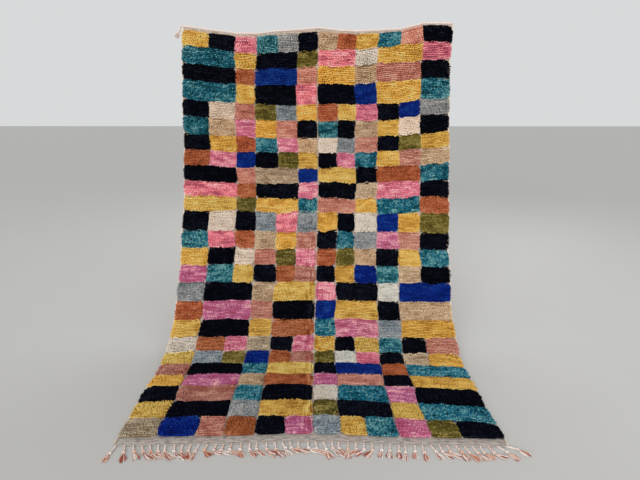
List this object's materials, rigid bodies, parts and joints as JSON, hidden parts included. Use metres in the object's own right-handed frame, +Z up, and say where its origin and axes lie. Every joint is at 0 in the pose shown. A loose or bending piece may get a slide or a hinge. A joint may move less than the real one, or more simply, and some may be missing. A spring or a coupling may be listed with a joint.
{
  "type": "wool pile rug",
  "caption": "Hand-knotted wool pile rug in a multicolour block check, hung by its top edge and sweeping forward onto the floor, with a knotted fringe along its foot.",
  "frame": {"origin": "on the floor, under the middle of the rug's box", "axes": "X across the rug, to the right as seen from the pile side, +Y away from the viewer, +Z up"},
  "size_m": [1.5794, 1.4473, 1.6872],
  "materials": {
    "pile_wool": "soft matt wool pile in blocks of many colours",
    "ground_wool": "matt flat-woven undyed wool",
    "fringe_wool": "matt twisted undyed wool"
  },
  "bodies": {
    "root": {"rug_cloth": "pile_wool", "side_cord_left": "ground_wool", "side_cord_right": "ground_wool", "top_cord": "ground_wool", "corner_tail": "fringe_wool", "foot_fringe": "fringe_wool"}
  },
  "joints": []
}
